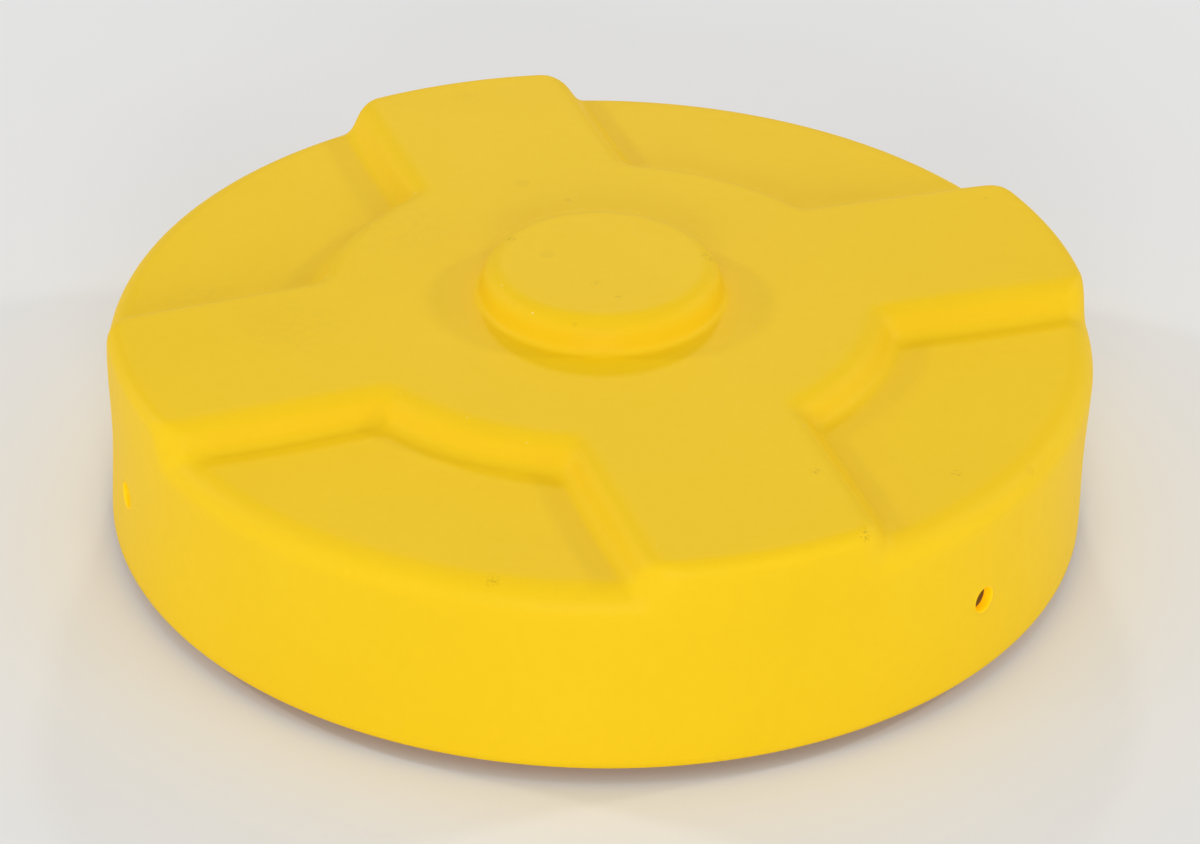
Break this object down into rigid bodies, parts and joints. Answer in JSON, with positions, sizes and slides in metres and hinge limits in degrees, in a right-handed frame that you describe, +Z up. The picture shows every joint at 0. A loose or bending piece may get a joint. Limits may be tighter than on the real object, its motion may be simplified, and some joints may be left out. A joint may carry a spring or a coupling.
{
  "type": "drum dolly",
  "caption": "Round moulded deck with a raised cross and middle boss, carried on hidden swivel casters, that holds and moves an upright drum.",
  "frame": {"origin": "on the floor under the centre of the deck", "axes": "+Z up; two opposite arms of the raised cross lie along X and the other two along Y; a skirt hole faces -X"},
  "size_m": [0.61, 0.61, 0.171],
  "materials": {
    "yellow_polyethylene": "satin moulded polyethylene",
    "brass": "machined",
    "zinc_fastener": "bright zinc plate",
    "zinc_pressing": "zinc plated pressed steel",
    "black_painted_steel": "black powder coat",
    "bearing_steel": "ground and polished",
    "black_plastic": "matte moulded",
    "grey_plastic": "matte moulded",
    "tyre_rubber": "matte rubber"
  },
  "bodies": {
    "deck_frame": {"deck": "yellow_polyethylene", "deck_rim_arcs": "yellow_polyethylene", "deck_hole_panels": "yellow_polyethylene", "centre_insert": "brass", "centre_bolt": "zinc_fastener", "centre_washer": "zinc_fastener", "spider": "black_painted_steel", "mount_screws": "zinc_fastener", "mount_washers": "zinc_fastener", "mount_nuts": "zinc_fastener", "king_nuts": "zinc_fastener", "dust_seals": "black_plastic", "top_plate_1": "zinc_pressing", "top_plate_2": "zinc_pressing", "top_plate_3": "zinc_pressing", "top_plate_4": "zinc_pressing", "king_bolt_1": "zinc_fastener", "king_bolt_2": "zinc_fastener", "king_bolt_3": "zinc_fastener", "king_bolt_4": "zinc_fastener", "lower_race_1": "zinc_pressing", "lower_race_2": "zinc_pressing", "lower_race_3": "zinc_pressing", "lower_race_4": "zinc_pressing"},
    "caster_1": {"fork_1": "zinc_pressing", "axle_bolt_1": "zinc_fastener", "axle_nut_1": "zinc_fastener", "axle_sleeve_1": "bearing_steel", "thread_guards_1": "grey_plastic"},
    "ball_ring_1": {"swivel_balls_1": "bearing_steel"},
    "wheel_1": {"wheel_core_1": "grey_plastic", "tyre_1": "tyre_rubber"},
    "rollers_1": {"roller_cage_1": "bearing_steel"},
    "caster_2": {"fork_2": "zinc_pressing", "axle_bolt_2": "zinc_fastener", "axle_nut_2": "zinc_fastener", "axle_sleeve_2": "bearing_steel", "thread_guards_2": "grey_plastic"},
    "ball_ring_2": {"swivel_balls_2": "bearing_steel"},
    "wheel_2": {"wheel_core_2": "grey_plastic", "tyre_2": "tyre_rubber"},
    "rollers_2": {"roller_cage_2": "bearing_steel"},
    "caster_3": {"fork_3": "zinc_pressing", "axle_bolt_3": "zinc_fastener", "axle_nut_3": "zinc_fastener", "axle_sleeve_3": "bearing_steel", "thread_guards_3": "grey_plastic"},
    "ball_ring_3": {"swivel_balls_3": "bearing_steel"},
    "wheel_3": {"wheel_core_3": "grey_plastic", "tyre_3": "tyre_rubber"},
    "rollers_3": {"roller_cage_3": "bearing_steel"},
    "caster_4": {"fork_4": "zinc_pressing", "axle_bolt_4": "zinc_fastener", "axle_nut_4": "zinc_fastener", "axle_sleeve_4": "bearing_steel", "thread_guards_4": "grey_plastic"},
    "ball_ring_4": {"swivel_balls_4": "bearing_steel"},
    "wheel_4": {"wheel_core_4": "grey_plastic", "tyre_4": "tyre_rubber"},
    "rollers_4": {"roller_cage_4": "bearing_steel"}
  },
  "joints": [
    {"name": "swivel_1", "type": "hinge", "parent": "deck_frame", "child": "caster_1", "pos_m": [0.2, 0, 0.12], "axis": [0, 0, 1], "continuous": true},
    {"name": "ball_ring_turn_1", "type": "hinge", "parent": "deck_frame", "child": "ball_ring_1", "pos_m": [0.2, 0, 0.12], "axis": [0, 0, 1], "continuous": true},
    {"name": "wheel_turn_1", "type": "hinge", "parent": "caster_1", "child": "wheel_1", "pos_m": [0.162, 0, 0.05], "axis": [0, 1, 0], "continuous": true},
    {"name": "roller_turn_1", "type": "hinge", "parent": "caster_1", "child": "rollers_1", "pos_m": [0.162, 0, 0.05], "axis": [0, 1, 0], "continuous": true},
    {"name": "swivel_2", "type": "hinge", "parent": "deck_frame", "child": "caster_2", "pos_m": [0, 0.2, 0.12], "axis": [0, 0, 1], "continuous": true},
    {"name": "ball_ring_turn_2", "type": "hinge", "parent": "deck_frame", "child": "ball_ring_2", "pos_m": [0, 0.2, 0.12], "axis": [0, 0, 1], "continuous": true},
    {"name": "wheel_turn_2", "type": "hinge", "parent": "caster_2", "child": "wheel_2", "pos_m": [0, 0.162, 0.05], "axis": [-1, 0, 0], "continuous": true},
    {"name": "roller_turn_2", "type": "hinge", "parent": "caster_2", "child": "rollers_2", "pos_m": [0, 0.162, 0.05], "axis": [-1, 0, 0], "continuous": true},
    {"name": "swivel_3", "type": "hinge", "parent": "deck_frame", "child": "caster_3", "pos_m": [-0.2, 0, 0.12], "axis": [0, 0, 1], "continuous": true},
    {"name": "ball_ring_turn_3", "type": "hinge", "parent": "deck_frame", "child": "ball_ring_3", "pos_m": [-0.2, 0, 0.12], "axis": [0, 0, 1], "continuous": true},
    {"name": "wheel_turn_3", "type": "hinge", "parent": "caster_3", "child": "wheel_3", "pos_m": [-0.162, 0, 0.05], "axis": [0, -1, 0], "continuous": true},
    {"name": "roller_turn_3", "type": "hinge", "parent": "caster_3", "child": "rollers_3", "pos_m": [-0.162, 0, 0.05], "axis": [0, -1, 0], "continuous": true},
    {"name": "swivel_4", "type": "hinge", "parent": "deck_frame", "child": "caster_4", "pos_m": [0, -0.2, 0.12], "axis": [0, 0, 1], "continuous": true},
    {"name": "ball_ring_turn_4", "type": "hinge", "parent": "deck_frame", "child": "ball_ring_4", "pos_m": [0, -0.2, 0.12], "axis": [0, 0, 1], "continuous": true},
    {"name": "wheel_turn_4", "type": "hinge", "parent": "caster_4", "child": "wheel_4", "pos_m": [0, -0.162, 0.05], "axis": [1, 0, 0], "continuous": true},
    {"name": "roller_turn_4", "type": "hinge", "parent": "caster_4", "child": "rollers_4", "pos_m": [0, -0.162, 0.05], "axis": [1, 0, 0], "continuous": true}
  ],
  "couplings": [
    {"joint": "ball_ring_turn_1", "follows": "swivel_1", "ratio": 0.5},
    {"joint": "roller_turn_1", "follows": "wheel_turn_1", "ratio": 0.602},
    {"joint": "ball_ring_turn_2", "follows": "swivel_2", "ratio": 0.5},
    {"joint": "roller_turn_2", "follows": "wheel_turn_2", "ratio": 0.602},
    {"joint": "ball_ring_turn_3", "follows": "swivel_3", "ratio": 0.5},
    {"joint": "roller_turn_3", "follows": "wheel_turn_3", "ratio": 0.602},
    {"joint": "ball_ring_turn_4", "follows": "swivel_4", "ratio": 0.5},
    {"joint": "roller_turn_4", "follows": "wheel_turn_4", "ratio": 0.602}
  ]
}
